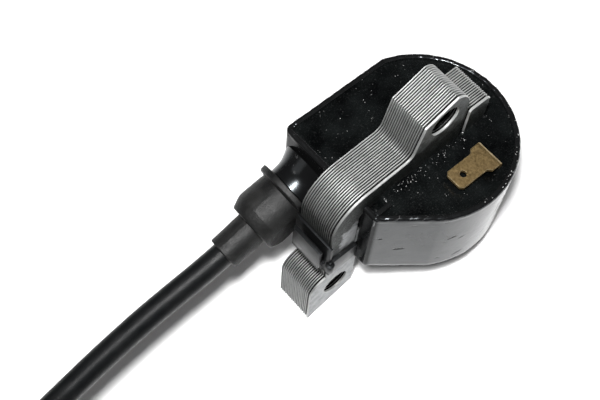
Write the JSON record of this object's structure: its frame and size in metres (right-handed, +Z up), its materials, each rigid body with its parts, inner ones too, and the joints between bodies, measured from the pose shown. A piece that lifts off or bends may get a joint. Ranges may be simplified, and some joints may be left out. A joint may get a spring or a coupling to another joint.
{
  "type": "ignition coil",
  "caption": "Small engine ignition coil: C-shaped laminated core in a round resin-filled casing, kill-switch tab, and a high-tension lead with a spark plug cap.",
  "frame": {"origin": "centre of the fixing hole in the core's lug, on the middle plane of the laminated stack", "axes": "+Y along both fixing holes, through the stack; +X from the lug towards the round casing; +Z up, away from the surface that the part lies on"},
  "size_m": [0.1855, 0.0735, 0.0442],
  "materials": {
    "laminated_steel": "stacked sheet steel, bright cut edges with dark gaps, greyed faces",
    "casing_plastic": "black moulded plastic, glossy, scuffed",
    "potting_resin": "black cast epoxy, glossy, with grit",
    "bobbin_plastic": "natural nylon",
    "copper_wire": "enamelled copper wire, wound in layers",
    "fine_copper_wire": "fine enamelled copper wire",
    "board_green": "glass-epoxy board, solder mask",
    "component_black": "moulded epoxy component body",
    "resistor_tan": "lacquered film resistor with colour bands",
    "capacitor_orange": "dipped ceramic capacitor",
    "brass_tab": "sheet brass, tarnished, sheared edges",
    "turned_brass": "turned brass",
    "red_insulation": "insulated hook-up wire",
    "black_insulation": "insulated hook-up wire",
    "enamelled_wire": "enamelled wire",
    "boot_rubber": "moulded black rubber, fine grain",
    "lead_jacket": "satin black lead jacket",
    "tie_nylon": "black nylon strap",
    "cap_rubber": "moulded black rubber",
    "cap_bakelite": "pressed black phenolic",
    "white_ceramic": "glazed ceramic rod",
    "spring_steel": "plated spring wire"
  },
  "bodies": {
    "root": {"core_arch": "laminated_steel", "core_leg": "laminated_steel", "core_channel": "casing_plastic", "casing": "casing_plastic", "resin": "potting_resin", "primary_bobbin": "bobbin_plastic", "primary_winding": "copper_wire", "secondary_bobbin": "bobbin_plastic", "secondary_winding": "fine_copper_wire", "circuit_board": "board_green", "switching_transistor": "component_black", "bias_resistor": "resistor_tan", "protection_diode": "component_black", "timing_capacitor": "capacitor_orange", "kill_terminal": "brass_tab", "kill_link_wire": "red_insulation", "earth_wire": "black_insulation", "high_tension_pin": "turned_brass", "high_tension_wire": "enamelled_wire", "lead_boot": "boot_rubber", "ignition_lead": "lead_jacket", "lead_coil": "lead_jacket", "lead_end": "lead_jacket", "coil_tie": "tie_nylon", "cap_lead_seal": "cap_rubber", "cap_body": "cap_bakelite", "cap_wire_screw": "turned_brass", "cap_resistor": "white_ceramic", "cap_spring": "spring_steel", "cap_terminal": "brass_tab", "cap_plug_seal": "cap_rubber"}
  },
  "joints": []
}
